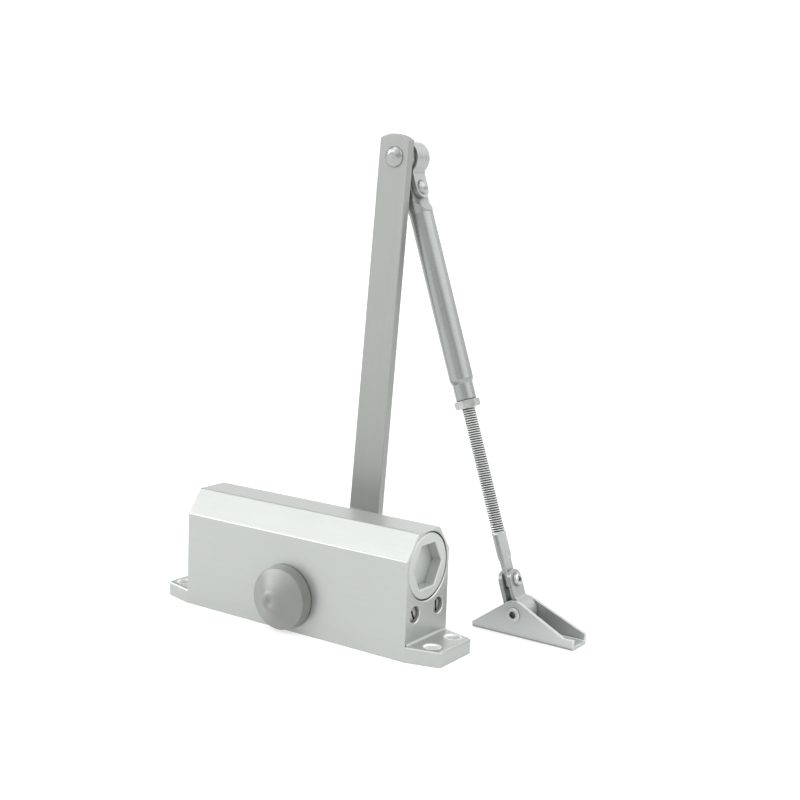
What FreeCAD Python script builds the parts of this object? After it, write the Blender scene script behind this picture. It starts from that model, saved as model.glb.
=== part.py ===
import FreeCAD, Part
import Sketcher
import math
import os
from FreeCAD import Vector, Rotation, Placement

# Hydraulic door closer: body on two feet, spindle with rack and pinion,
# flat main arm, adjustable forearm and shoe.  Millimetres.  +Z up from the
# mounting face, X along the body, Y along the spindle axis; the origin is the
# centre of the four fixing holes on the mounting face.

doc = FreeCAD.newDocument("door_closer")
sheet = doc.addObject("Spreadsheet::Sheet", "Sheet")

SIZES = [
    # closer body
    ("body_length", 144.0, "body, end face to end face"),
    ("body_width", 38.0, "body, front face to back face"),
    ("body_height", 63.1, "body, mounting face to top"),
    ("shoulder_height", 50.4, "height of the lower edge of the top chamfers"),
    ("top_width", 19.0, "flat top between the chamfers"),
    ("foot_thick", 7.9, "foot thickness"),
    ("foot_length", 18.0, "foot beyond the end face"),
    ("foot_tip_width", 28.8, "foot width at its tip"),
    ("hole_pitch_long", 164.0, "fixing holes, pitch along the body"),
    ("hole_pitch_cross", 19.0, "fixing holes, pitch across the body"),
    ("hole_radius", 3.5, "fixing hole radius"),
    ("bore_height", 44.7, "cylinder bore axis above mounting face"),
    ("bore_radius", 16.5, "cylinder bore radius"),
    ("thread_radius", 17.5, "end plug thread radius in the body"),
    ("thread_depth", 12.0, "end plug thread depth"),
    # spindle
    ("pinion_x", -2.8, "spindle axis along the body"),
    ("pinion_height", 18.15, "spindle axis above mounting face"),
    ("gear_module", 2.0, "pinion module"),
    ("gear_teeth", 12.0, "pinion teeth"),
    ("gear_half_width", 11.4, "half face width of the pinion"),
    ("chamber_radius", 14.2, "pinion chamber radius"),
    ("gland_radius", 14.6, "gland nut thread radius in the body"),
    ("gland_inner_end", 12.2, "inner end of the gland nut from mid plane"),
    ("flange_radius", 15.4, "gland nut flange radius"),
    ("flange_thick", 2.0, "gland nut flange thickness"),
    ("journal_radius", 7.0, "spindle journal radius"),
    ("square_flats", 10.0, "spindle square across flats"),
    ("square_start", 24.6, "start of the spindle square from mid plane"),
    ("square_end", 29.2, "end of the spindle square from mid plane"),
    ("cap_radius", 16.85, "spindle cap rim radius"),
    ("cap_height", 13.9, "spindle cap height"),
    # piston
    ("piston_radius", 16.45, "piston radius"),
    ("piston_rear", -26.0, "rear face of the piston at rest"),
    ("piston_front", 50.0, "front face of the piston at rest"),
    ("piston_cup_end", 36.0, "bottom of the spring cup in the piston"),
    ("cup_radius", 11.0, "spring cup radius"),
    ("wire_radius", 1.7, "spring wire radius"),
    ("coil_radius", 8.7, "spring mean coil radius"),
    ("coil_turns", 12.0, "spring turns"),
    # valves
    ("valve_offset", 10.6, "regulating screws, distance from mid plane"),
    ("valve_height", 22.15, "regulating screws above mounting face"),
    ("valve_hole_radius", 4.2, "regulating screw hole radius"),
    ("valve_screw_radius", 3.9, "regulating screw head radius"),
    # main arm
    ("arm_lean", 3.33, "lean of the main arm at rest, degrees"),
    ("arm_shift", 1.85, "bar centre line beside the spindle axis"),
    ("arm_thick", 4.8, "arm thickness"),
    ("arm_pad_front", 24.9, "front face of the arm at the spindle"),
    ("arm_bar_front", 42.5, "front face of the upper bar"),
    ("arm_hub_radius", 13.0, "round end at the spindle"),
    ("arm_half_low", 9.8, "half width of the bar at the spindle"),
    ("arm_half_top", 9.25, "half width of the bar at the top"),
    ("arm_corner", 237.1, "top corners of the bar from the spindle axis"),
    ("arm_end_radius", 17.7, "radius of the top end"),
    ("stud_shift", 2.4, "elbow stud beside the spindle axis"),
    ("stud_reach", 227.71, "elbow stud from the spindle axis"),
    # forearm
    ("fore_y", 57.5, "mid plane of forearm and shoe"),
    ("fore_angle", 70.846, "slope of the forearm at rest, degrees"),
    ("fore_length", 247.12, "elbow stud to shoe rivet"),
    ("fore_offset", -1.6, "forearm axis beside the line of the pivots"),
    ("strap_width", 11.4, "strap width"),
    ("strap_thick", 2.1, "shoe strap thickness"),
    ("strap_bore", 5.2, "shoe strap loop inner radius"),
    ("strap_gap", 3.4, "gap between the shoe strap's legs"),
    ("knuckle_thick", 2.5, "elbow strap thickness"),
    ("knuckle_bore", 6.2, "elbow strap loop inner radius"),
    ("knuckle_gap", 4.4, "gap between the elbow strap's legs"),
    ("strap_pin", 16.9, "cross pin from loop centre"),
    ("tongue_thick", 3.1, "flat end of the rod"),
    ("tube_tongue", 4.1, "flattened end of the tube"),
    ("tube_radius", 6.4, "forearm tube radius"),
    ("neck_radius", 5.45, "necked end of the tube"),
    ("neck_start", 123.0, "start of the neck from the elbow stud"),
    ("tube_end", 132.2, "end of the tube from the elbow stud"),
    ("rod_radius", 4.0, "threaded rod radius"),
    ("shank_radius", 3.75, "plain end of the rod"),
    ("rod_start", 84.0, "inner end of the rod"),
    ("nut_flats", 12.0, "lock nut across flats"),
    ("nut_thick", 4.3, "lock nut thickness"),
    # shoe
    ("shoe_left", 69.4, "left end of the shoe"),
    ("shoe_right", 128.9, "right end of the shoe"),
    ("shoe_width", 15.4, "shoe width"),
    ("shoe_sheet", 1.9, "shoe sheet thickness"),
    ("shoe_ear_radius", 7.4, "rounded top of the ears"),
    ("shoe_lip", 5.6, "height of the ears at the right end"),
    ("shoe_left_height", 3.2, "height of the ears at the left end"),
    ("shoe_hole_pitch", 41.0, "shoe fixing holes, pitch"),
    ("shoe_hole_radius", 2.75, "shoe fixing hole radius"),
    ("rivet_radius", 3.2, "shoe rivet shank radius"),
]
for row, (alias, value, note) in enumerate(SIZES, start=1):
    sheet.set("A%d" % row, note)
    sheet.set("B%d" % row, repr(value))
    sheet.setAlias("B%d" % row, alias)
doc.recompute()


class Dim:
    """A size from the sheet: its number and the expression it is bound by."""

    def __init__(self, value, text):
        self.v = float(value)
        self.e = text

    @staticmethod
    def of(other):
        return other if isinstance(other, Dim) else Dim(other, repr(float(other)))

    def __add__(self, o):
        o = Dim.of(o)
        return Dim(self.v + o.v, "(%s + %s)" % (self.e, o.e))

    def __radd__(self, o):
        return Dim.of(o) + self

    def __sub__(self, o):
        o = Dim.of(o)
        return Dim(self.v - o.v, "(%s - %s)" % (self.e, o.e))

    def __rsub__(self, o):
        return Dim.of(o) - self

    def __mul__(self, o):
        o = Dim.of(o)
        return Dim(self.v * o.v, "(%s * %s)" % (self.e, o.e))

    __rmul__ = __mul__

    def __truediv__(self, o):
        o = Dim.of(o)
        return Dim(self.v / o.v, "(%s / %s)" % (self.e, o.e))

    def __neg__(self):
        return Dim(-self.v, "(-1.0 * %s)" % self.e)


class Sizes:
    def __getattr__(self, name):
        return Dim(sheet.get(name), "Sheet." + name)


S = Sizes()


def num(d):
    return d.v if isinstance(d, Dim) else float(d)


def bind(obj, prop, dim):
    if isinstance(dim, Dim):
        obj.setExpression(prop, dim.e)
    else:
        setattr(obj, prop, float(dim))


# ---------------------------------------------------------------- sketches

def origin_plane(body, role):
    for feat in body.Origin.OriginFeatures:
        if feat.Role == role:
            return feat
    raise RuntimeError(role)


def new_sketch(body, name, role, offset=None):
    sk = body.newObject("Sketcher::SketchObject", name)
    sk.AttachmentSupport = [(origin_plane(body, role), "")]
    sk.MapMode = "FlatFace"
    if offset is not None:
        sk.AttachmentOffset = Placement(Vector(0, 0, num(offset)), Rotation())
        if isinstance(offset, Dim):
            sk.setExpression("AttachmentOffset.Base.z", offset.e)
    return sk


def pin_point(sk, geo, pos, x, y):
    for kind, val, axis in (("DistanceX", x, -2), ("DistanceY", y, -1)):
        v = num(val)
        if abs(v) < 1e-9:
            sk.addConstraint(Sketcher.Constraint("PointOnObject", geo, pos, axis))
            continue
        if v > 0:
            idx = sk.addConstraint(Sketcher.Constraint(kind, -1, 1, geo, pos, v))
            text = val.e if isinstance(val, Dim) else None
        else:
            idx = sk.addConstraint(Sketcher.Constraint(kind, geo, pos, -1, 1, -v))
            text = (-val).e if isinstance(val, Dim) else None
        if text:
            sk.setExpression("Constraints[%d]" % idx, text)


def polygon(sk, pts):
    first = sk.GeometryCount
    n = len(pts)
    for i in range(n):
        a, b = pts[i], pts[(i + 1) % n]
        sk.addGeometry(Part.LineSegment(Vector(num(a[0]), num(a[1]), 0),
                                        Vector(num(b[0]), num(b[1]), 0)), False)
    for i in range(n):
        sk.addConstraint(Sketcher.Constraint("Coincident", first + i, 2, first + (i + 1) % n, 1))
    for i, p in enumerate(pts):
        pin_point(sk, first + i, 1, p[0], p[1])


def circle(sk, x, y, r):
    g = sk.addGeometry(Part.Circle(Vector(num(x), num(y), 0), Vector(0, 0, 1), num(r)), False)
    pin_point(sk, g, 3, x, y)
    idx = sk.addConstraint(Sketcher.Constraint("Radius", g, num(r)))
    if isinstance(r, Dim):
        sk.setExpression("Constraints[%d]" % idx, r.e)


def free_profile(sk, curves):
    """A closed chain of lines and arcs, fixed where it is drawn."""
    first = sk.GeometryCount
    for c in curves:
        sk.addGeometry(c, False)
    for i in range(len(curves)):
        sk.addConstraint(Sketcher.Constraint("Block", first + i))


def new_body(name):
    return doc.addObject("PartDesign::Body", name)


def pad(body, sk, length, symmetric=False, flip=False):
    p = body.newObject("PartDesign::Pad", sk.Name + "_pad")
    p.Profile = sk
    p.Length = num(length)
    bind(p, "Length", length)
    p.SideType = "Symmetric" if symmetric else "One side"
    p.Reversed = flip
    return p


def pocket(body, sk, length, symmetric=False, flip=False, through=False):
    p = body.newObject("PartDesign::Pocket", sk.Name + "_pocket")
    p.Profile = sk
    p.Length = num(length)
    bind(p, "Length", length)
    if symmetric:
        p.SideType = "Symmetric"
    p.Reversed = flip
    return p


def revolve(body, sk):
    r = body.newObject("PartDesign::Revolution", sk.Name + "_turn")
    r.Profile = sk
    r.ReferenceAxis = (sk, ["V_Axis"])
    r.Angle = 360.0
    return r


def turned(name, pts):
    """A turned piece: profile (radius, height) about its own Z axis."""
    body = new_body(name)
    sk = new_sketch(body, name + "_profile", "XZ_Plane")
    polygon(sk, pts)
    revolve(body, sk)
    return body


def cylinder(name, r, length, base, direction):
    o = doc.addObject("Part::Cylinder", name)
    bind(o, "Radius", r)
    bind(o, "Height", length)
    o.Placement = Placement(base, Rotation(Vector(0, 0, 1), direction))
    return o


def cone(name, r1, r2, length, base, direction):
    o = doc.addObject("Part::Cone", name)
    bind(o, "Radius1", r1)
    bind(o, "Radius2", r2)
    bind(o, "Height", length)
    o.Placement = Placement(base, Rotation(Vector(0, 0, 1), direction))
    return o


def fuse(name, parts):
    o = doc.addObject("Part::MultiFuse", name)
    o.Shapes = parts
    return o


def cut(name, base, tool):
    o = doc.addObject("Part::Cut", name)
    o.Base = base
    o.Tool = tool
    return o


def common(name, a, b):
    o = doc.addObject("Part::Common", name)
    o.Base = a
    o.Tool = b
    return o


def fillet(name, base, radius, chooser):
    """Round the edges of base that chooser accepts."""
    doc.recompute()
    o = doc.addObject("Part::Fillet", name)
    o.Base = base
    o.Edges = [(i + 1, radius, radius) for i, e in enumerate(base.Shape.Edges) if chooser(e)]
    return o


def feature(name, shape, place=None):
    o = doc.addObject("Part::Feature", name)
    o.Shape = shape
    if place is not None:
        o.Placement = place
    return o


NODES = {}


def node(label, obj):
    obj.Label = label
    NODES[label] = obj
    return obj


X, Y, Z = Vector(1, 0, 0), Vector(0, 1, 0), Vector(0, 0, 1)
TO_X = Rotation(Z, X)
TO_MX = Rotation(Z, Vector(-1, 0, 0))
TO_Y = Rotation(Z, Y)
TO_MY = Rotation(Z, Vector(0, -1, 0))


def mid(e):
    return e.valueAt((e.FirstParameter + e.LastParameter) / 2.0)


# ------------------------------------------------------------- closer body

HL = num(S.body_length) / 2
HW = num(S.body_width) / 2
PX, PZ = num(S.pinion_x), num(S.pinion_height)
BZ = num(S.bore_height)

block = new_body("body_block")
sk = new_sketch(block, "body_section", "YZ_Plane")
hw, tw = S.body_width / 2, S.top_width / 2
polygon(sk, [(-hw, 0), (hw, 0), (hw, S.shoulder_height), (tw, S.body_height),
             (-tw, S.body_height), (-hw, S.shoulder_height)])
pad(block, sk, S.body_length, symmetric=True)
sk = new_sketch(block, "foot_plan", "XY_Plane")
hl, ft, fx = S.body_length / 2, S.foot_tip_width / 2, S.body_length / 2 + S.foot_length
polygon(sk, [(-fx, -ft), (-hl, -hw), (hl, -hw), (fx, -ft),
             (fx, ft), (hl, hw), (-hl, hw), (-fx, ft)])
pad(block, sk, S.foot_thick)
doc.recompute()


def long_edge(e):
    """Long edges of the body section above the feet."""
    p, q = e.Vertexes[0].Point, e.Vertexes[-1].Point
    return abs(p.x - q.x) > 100 and min(p.z, q.z) > 10


def foot_corner(e):
    """Upright corners at the foot tips, and the soft bend in the plan."""
    p, q = e.Vertexes[0].Point, e.Vertexes[-1].Point
    return abs(p.x - q.x) < 0.1 and abs(p.y - q.y) < 0.1 and max(p.z, q.z) < 8.5 and abs(p.x) > HL + 5


body_round = fillet("body_round", block, 0.9, long_edge)
body_round2 = fillet("body_round2", body_round, 1.6, foot_corner)
doc.recompute()


def foot_top(e):
    m = mid(e)
    p, q = e.Vertexes[0].Point, e.Vertexes[-1].Point
    ft_ = num(S.foot_thick)
    return abs(p.z - ft_) < 0.01 and abs(q.z - ft_) < 0.01 and abs(m.x) > HL + 0.3


def end_edge(e):
    m = mid(e)
    p, q = e.Vertexes[0].Point, e.Vertexes[-1].Point
    return (abs(abs(p.x) - HL) < 0.01 and abs(abs(q.x) - HL) < 0.01 and abs(abs(m.x) - HL) < 0.01
            and m.z > num(S.foot_thick) + 0.5)


body_round3 = fillet("body_round3", body_round2, 1.6, foot_top)
body_round4 = fillet("body_round4", body_round3, 0.5, end_edge)

# small root radius where each end face meets its foot
roots = [body_round4]
rt_, ft_ = 1.3, num(S.foot_thick)
for sx in (1, -1):
    q = [Vector(sx * (HL + a), -HW + 1.2, ft_ + b) for a, b in
         ((-0.4, -0.4), (rt_, -0.4), (rt_, 0.0), (0.36 * rt_, 0.36 * rt_), (0.0, rt_), (-0.4, rt_))]
    wire = Part.Wire([Part.LineSegment(q[0], q[1]).toShape(), Part.LineSegment(q[1], q[2]).toShape(),
                      Part.Arc(q[2], q[3], q[4]).toShape(), Part.LineSegment(q[4], q[5]).toShape(),
                      Part.LineSegment(q[5], q[0]).toShape()])
    roots.append(feature("foot_root", Part.Face(wire).extrude(Vector(0, 2 * HW - 2.4, 0))))
body_solid = fuse("body_solid", roots)

tools = [cylinder("t_bore", S.bore_radius, S.body_length, Vector(-HL, 0, BZ), X)]
for side, d in ((1, Vector(-1, 0, 0)), (-1, X)):
    tools.append(cylinder("t_thread", S.thread_radius, S.thread_depth, Vector(side * HL, 0, BZ), d))
    tools.append(cone("t_mouth", S.thread_radius + 0.45, S.thread_radius, 0.45, Vector(side * HL, 0, BZ), d))
tools.append(cylinder("t_chamber", S.chamber_radius, S.body_width, Vector(PX, -HW, PZ), Y))
for side, d in ((1, Vector(0, -1, 0)), (-1, Y)):
    tools.append(cylinder("t_gland", S.gland_radius, S.body_width / 2 - S.gland_inner_end,
                          Vector(PX, side * HW, PZ), d))
for sx in (1, -1):
    for sy in (1, -1):
        at = Vector(sx * num(S.hole_pitch_long) / 2, sy * num(S.hole_pitch_cross) / 2, 0)
        tools.append(cylinder("t_fix", S.hole_radius, S.foot_thick + 1, at, Z))
        tools.append(cone("t_fix_edge", S.hole_radius, S.hole_radius + 0.7, 0.7,
                          at + Vector(0, 0, num(S.foot_thick) - 0.7), Z))
for sy in (1, -1):
    at = Vector(HL, sy * num(S.valve_offset), num(S.valve_height))
    back = Vector(-1, 0, 0)
    tools.append(cylinder("t_valve", S.valve_hole_radius, 12.0, at, back))
    tools.append(cone("t_valve_edge", S.valve_hole_radius + 0.4, S.valve_hole_radius, 0.4, at, back))
    tools.append(cylinder("t_needle", 2.6, 26.0, at, back))
    tools.append(cylinder("t_gallery", 1.3, HL - 9.0, at, back))
    tools.append(cylinder("t_port", 1.3, 12.0, at + Vector(-17.0, 0, 0), Z))
closer_body = node("closer_body", cut("closer_body", body_solid, fuse("body_tools", tools)))

# --------------------------------------------------------------- end plugs


def end_plug(name, side):
    body = turned(name + "_blank", [
        (0, 0), (16.4, 0), (17.05, -0.65), (17.05, -1.6), (17.45, -2.0),
        (17.45, -8.6), (15.5, -8.6), (15.5, -10.7), (17.0, -10.7), (16.6, -11.6), (0, -11.6)])
    sk = new_sketch(body, name + "_hex", "XY_Plane")
    r = 22.0 / math.sqrt(3.0)
    polygon(sk, [(r * math.cos(math.radians(a)), r * math.sin(math.radians(a)))
                 for a in (90, 150, 210, 270, 330, 30)])
    pocket(body, sk, 6.0)
    doc.recompute()
    o = doc.addObject("Part::Chamfer", name + "_mouth")
    o.Base = body
    o.Edges = [(i + 1, 0.5, 0.5) for i, e in enumerate(body.Shape.Edges)
               if abs(mid(e).z) < 0.01 and abs(e.Length - r) < 0.05]
    o.Placement = Placement(Vector(side * (HL - 0.35), 0, BZ), TO_X if side > 0 else TO_MX)
    return node(name, o)


front_end_plug = end_plug("front_end_plug", 1)
rear_end_plug = end_plug("rear_end_plug", -1)


def ring(name, major, minor, base, direction):
    o = doc.addObject("Part::Torus", name)
    bind(o, "Radius1", major)
    bind(o, "Radius2", minor)
    o.Placement = Placement(base, Rotation(Z, direction))
    return o


seal_x = HL - 0.35 - 9.65
node("end_plug_seals", doc.addObject("Part::Compound", "end_plug_seals")).Links = [
    ring("plug_seal_a", 16.5, 0.94, Vector(seal_x, 0, BZ), X),
    ring("plug_seal_b", 16.5, 0.94, Vector(-seal_x, 0, BZ), X)]

# ------------------------------------------------------------------ piston

MOD = num(S.gear_module)
RP = MOD * num(S.gear_teeth) / 2
PITCH = math.pi * MOD
RACK_Z = PZ + RP
RACK_TIP = RACK_Z - 0.65 * MOD
RACK_ROOT = RACK_Z + 1.05 * MOD
T20 = math.tan(math.radians(20))

p_rear, p_front = num(S.piston_rear), num(S.piston_front)
p_len = S.piston_front - S.piston_rear
p_out = cylinder("piston_bar", S.piston_radius, p_len, Vector(p_rear, 0, BZ), X)
p_tools = [cylinder("piston_cup", S.cup_radius, S.piston_cup_end - S.piston_rear, Vector(p_rear, 0, BZ), X)]
cup_end = num(S.piston_cup_end)
p_tools.append(cylinder("valve_way", 1.6, 20.0, Vector(cup_end - 3, 0, BZ), X))
p_tools.append(cone("valve_seat", 1.6, 2.8, 1.5, Vector(cup_end + 4.0, 0, BZ), X))
p_tools.append(cylinder("valve_room", 2.8, 20.0, Vector(cup_end + 5.5, 0, BZ), X))
flat = doc.addObject("Part::Box", "rack_flat")
flat.Length, flat.Width, flat.Height = 55.0, 40.0, 10.0
flat.Placement = Placement(Vector(-17.5, -20, RACK_TIP - 10.0), Rotation())
p_tools.append(flat)
gaps = new_body("rack_gaps")
sk = new_sketch(gaps, "rack_profile", "XZ_Plane")
for k in range(-2, 7):
    xc = PX + k * PITCH
    low, high = RACK_TIP - 0.6, RACK_ROOT
    wl = PITCH / 4 + 0.06 + (RACK_Z - low) * T20
    wh = PITCH / 4 + 0.06 + (RACK_Z - high) * T20
    polygon(sk, [(xc - wl, low), (xc + wl, low), (xc + wh, high), (xc - wh, high)])
g = pad(gaps, sk, 40.0, symmetric=True)
g.AllowMultiFace = True
p_tools.append(gaps)
for xg in (44.0,):
    p_tools.append(cut("seal_groove", cylinder("groove_out", S.piston_radius + 2, 2.0, Vector(xg, 0, BZ), X),
                       cylinder("groove_in", S.piston_radius - 0.8, 2.0, Vector(xg, 0, BZ), X)))
piston = node("piston", cut("piston", p_out, fuse("piston_tools", p_tools)))

ball = doc.addObject("Part::Sphere", "check_ball")
ball.Radius = 2.5
ball.Placement = Placement(Vector(cup_end + 6.08, 0, BZ), Rotation())
node("check_ball", ball)
clip = turned("check_valve_clip", [(1.5, 0), (2.8, 0), (2.8, 1.0), (1.5, 1.0)])
clip.Placement = Placement(Vector(cup_end + 10.2, 0, BZ), TO_X)
node("check_valve_clip", clip)

# spring between the rear plug and the bottom of the piston's cup
sp_a = -(HL - 0.35 - 11.6) + num(S.wire_radius) + 0.05
sp_b = cup_end - num(S.wire_radius) - 0.05
turns = num(S.coil_turns)
helix = Part.makeHelix((sp_b - sp_a) / turns, sp_b - sp_a, num(S.coil_radius))
prof = Part.Wire([Part.makeCircle(num(S.wire_radius), Vector(num(S.coil_radius), 0, 0), Y)])
coil = Part.Wire(helix.Edges).makePipeShell([prof], True, True)
node("closer_spring", feature("closer_spring", coil, Placement(Vector(sp_a, 0, BZ), TO_X)))

# ----------------------------------------------------------------- spindle


def pinion_outline():
    """Involute pinion, thinned for backlash, one tooth pointing up local +Y."""
    z = int(num(S.gear_teeth))
    rb = RP * math.cos(math.radians(20))
    tip, root = RP + 0.8 * MOD, RP - 1.0 * MOD
    inv20 = T20 - math.radians(20)
    half = (PITCH / 2 - 0.34) / (2 * RP)
    flank = []
    for r in (root, rb, rb + 0.8, RP + 0.1, RP + 0.85, tip):
        if r <= rb:
            a = half + inv20
        else:
            phi = math.acos(rb / r)
            a = half + inv20 - (math.tan(phi) - phi)
        flank.append((r, a))
    pts = []
    for k in range(z):
        c = math.pi / 2 - 2 * math.pi * k / z
        for r, a in flank:
            pts.append((r * math.cos(c + a), r * math.sin(c + a)))
        for r, a in reversed(flank):
            pts.append((r * math.cos(c - a), r * math.sin(c - a)))
    return pts


gear = new_body("pinion_gear")
sk = new_sketch(gear, "pinion_teeth", "XY_Plane")
out = [Vector(x, y, 0) for x, y in pinion_outline()]
free_profile(sk, [Part.LineSegment(out[i], out[(i + 1) % len(out)]) for i in range(len(out))])
pad(gear, sk, S.gear_half_width * 2, symmetric=True)
# local X, Y, Z of the gear lie along world X, Z, -Y
gear.Placement = Placement(Vector(PX, 0, PZ), Rotation(X, Z, Vector(0, -1, 0), "ZXY"))
shaft_bar = cylinder("spindle_bar", S.journal_radius, S.square_start * 2, Vector(PX, -num(S.square_start), PZ), Y)
sq = doc.addObject("Part::Box", "spindle_square")
bind(sq, "Length", S.square_flats)
bind(sq, "Height", S.square_flats)
bind(sq, "Width", S.square_end * 2)
LEAN = num(S.arm_lean)
half_sq = num(S.square_flats) / 2
sq_rot = Rotation(Y, LEAN)
sq.Placement = Placement(Vector(PX, 0, PZ) + sq_rot.multVec(Vector(-half_sq, -num(S.square_end), -half_sq)), sq_rot)
sq_round = common("spindle_square_round", sq,
                  cylinder("square_turn", S.journal_radius - 0.25, S.square_end * 2,
                           Vector(PX, -num(S.square_end), PZ), Y))
taps = [cylinder("tap_rear", 2.6, 17.0, Vector(PX, num(S.square_end), PZ), Vector(0, -1, 0)),
        cylinder("tap_front", 2.6, 17.0, Vector(PX, -num(S.square_end), PZ), Y)]
pinion_shaft = node("pinion_shaft", cut("pinion_shaft", fuse("spindle_solid", [gear, shaft_bar, sq_round]),
                                        fuse("spindle_taps", taps)))

# gland nuts, bushes and seals, one set each side (local Z outwards)
gi, gf = S.gland_inner_end, S.body_width / 2
nuts, bushes, seals = [], [], []
for side, rot in ((1, TO_Y), (-1, TO_MY)):
    t = "rear" if side > 0 else "front"
    nut_blank = turned("gland_" + t, [
        (9.5, gi + 0.1), (S.gland_radius - 0.05, gi + 0.1), (S.gland_radius - 0.05, gf + 0.02),
        (S.flange_radius, gf + 0.02), (S.flange_radius, gf + 1.4), (S.flange_radius - 0.6, gf + S.flange_thick),
        (7.6, gf + S.flange_thick), (7.6, gf + 0.6), (9.5, gf + 0.6)])
    nut_blank.Placement = Placement(Vector(PX, 0, PZ), rot)
    holes = []
    for a in (35, 125, 215, 305):
        d = Vector(math.cos(math.radians(a)), 0, math.sin(math.radians(a))) * 11.8
        holes.append(cylinder("spanner_hole_" + t, 1.6, 4.0,
                              Vector(PX, side * (HW + num(S.flange_thick) - 1.4), PZ) + d, Vector(0, side, 0)))
    nuts.append(cut("gland_nut_" + t, nut_blank, fuse("gland_holes_" + t, holes)))
    b = turned("bush_" + t, [(7.05, gi + 0.1), (9.48, gi + 0.1), (9.48, gi + 4.6), (7.05, gi + 4.6)])
    b.Placement = Placement(Vector(PX, 0, PZ), rot)
    bushes.append(b)
    seals.append(ring("spindle_seal_" + t, 8.28, 1.2, Vector(PX, side * (HW - 0.75), PZ), Y))
node("spindle_gland_nuts", doc.addObject("Part::Compound", "spindle_gland_nuts")).Links = nuts
node("spindle_bushes", doc.addObject("Part::Compound", "spindle_bushes")).Links = bushes
node("spindle_seals", doc.addObject("Part::Compound", "spindle_seals")).Links = seals

# spindle cap: moulded shell with a domed face and a soft dimple
ch, cr = num(S.cap_height), num(S.cap_radius)


def spline(points):
    c = Part.BSplineCurve()
    c.interpolate([Vector(r, 0, h) for r, h in points])
    return c.toShape()


def line(a, b):
    return Part.LineSegment(Vector(a[0], 0, a[1]), Vector(b[0], 0, b[1])).toShape()


edge = [(cr - 0.55, 6.1), (cr - 0.72, 6.58), (cr - 1.2, 6.95)]
outer = [edge[2], (cr - 3.4, 8.15), (cr - 6.4, 9.95), (cr - 9.4, 11.85), (5.3, ch - 0.62), (3.9, ch - 0.1), (2.6, ch - 0.02),
         (1.2, ch - 0.55), (0.0, ch - 0.8)]
inner = [(0.0, ch - 2.4), (4.0, ch - 2.3), (cr - 9.2, 10.2), (cr - 5.0, 7.4), (cr - 1.8, 5.5)]
low = 0.12
cap_face = Part.Face(Part.Wire([
    line((cr - 1.2, low), (cr - 0.3, low)), line((cr - 0.3, low), (cr, low + 0.3)), line((cr, low + 0.3), edge[0]), spline(edge),
    spline(outer), line(outer[-1], inner[0]), spline(inner), line(inner[-1], (cr - 1.2, low))]))
cap_shape = cap_face.revolve(Vector(0, 0, 0), Z, 360)
node("spindle_cap", feature("spindle_cap", cap_shape, Placement(Vector(PX, -HW, PZ), TO_MY)))

# ------------------------------------------------------- regulating screws


def valve_screw(name, sy, slot_angle):
    body = turned(name + "_blank", [
        (0, 0), (S.valve_screw_radius - 0.5, 0), (S.valve_screw_radius, -0.5), (S.valve_screw_radius, -3.4),
        (2.9, -3.4), (2.9, -5.2), (S.valve_screw_radius, -5.2), (S.valve_screw_radius, -10.0),
        (2.5, -10.4), (2.5, -17.5), (0.9, -22.0), (0, -22.0)])
    sk = new_sketch(body, name + "_slot", "XY_Plane")
    c, s = math.cos(math.radians(slot_angle)), math.sin(math.radians(slot_angle))
    rect = [(-5, -0.65), (5, -0.65), (5, 0.65), (-5, 0.65)]
    polygon(sk, [(x * c - y * s, x * s + y * c) for x, y in rect])
    pocket(body, sk, 1.6)
    body.Placement = Placement(Vector(HL - 1.6, sy * num(S.valve_offset), num(S.valve_height)), TO_X)
    return node(name, body)


valve_screw("sweep_valve_screw", -1, 25)
valve_screw("latch_valve_screw", 1, 5)
node("valve_seals", doc.addObject("Part::Compound", "valve_seals")).Links = [
    ring("valve_seal_%d" % i, 3.52, 0.6,
         Vector(HL - 1.6 - 4.3, sy * num(S.valve_offset), num(S.valve_height)), X)
    for i, sy in enumerate((-1, 1))]

# ---------------------------------------------------------------- main arm
# Own frame: Z up the arm from the spindle axis, Y along the spindle.
arm_place = Placement(Vector(PX, 0, PZ), Rotation(Y, LEAN))

side_body = new_body("arm_side")
sk = new_sketch(side_body, "arm_crank", "YZ_Plane")
pf, bf, th = S.arm_pad_front, S.arm_bar_front, S.arm_thick
polygon(sk, [(pf, -15.0), (pf, 15.8), (bf, 34.2), (bf, 245.0),
             (bf + th, 245.0), (bf + th, 32.2), (pf + th, 13.8), (pf + th, -15.0)])
pad(side_body, sk, 60.0, symmetric=True)
doc.recompute()


def crank_bend(e):
    p, q = e.Vertexes[0].Point, e.Vertexes[-1].Point
    return abs(p.x - q.x) > 50 and 10 < p.z < 40 and abs(p.z - q.z) < 0.01


side_round = fillet("arm_side_round", side_body, 4.0, crank_bend)

front_body = new_body("arm_front")
sk = new_sketch(front_body, "arm_hub", "XZ_Plane")
circle(sk, 0, 0, S.arm_hub_radius)
pad(front_body, sk, 140.0, symmetric=True)
sk = new_sketch(front_body, "arm_bar", "XZ_Plane")
sh_, hb, ht, zc, er = (num(S.arm_shift), num(S.arm_half_low), num(S.arm_half_top),
                       num(S.arm_corner), num(S.arm_end_radius))
sag = er - math.sqrt(er * er - ht * ht)
a0, a1, a2 = Vector(sh_ + ht, zc, 0), Vector(sh_, zc + sag, 0), Vector(sh_ - ht, zc, 0)
b0, b1 = Vector(sh_ - hb, 0, 0), Vector(sh_ + hb, 0, 0)
free_profile(sk, [Part.Arc(a0, a1, a2), Part.LineSegment(a2, b0), Part.LineSegment(b0, b1), Part.LineSegment(b1, a0)])
pad(front_body, sk, 140.0, symmetric=True)
arm_blank = common("arm_blank", side_round, front_body)


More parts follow.
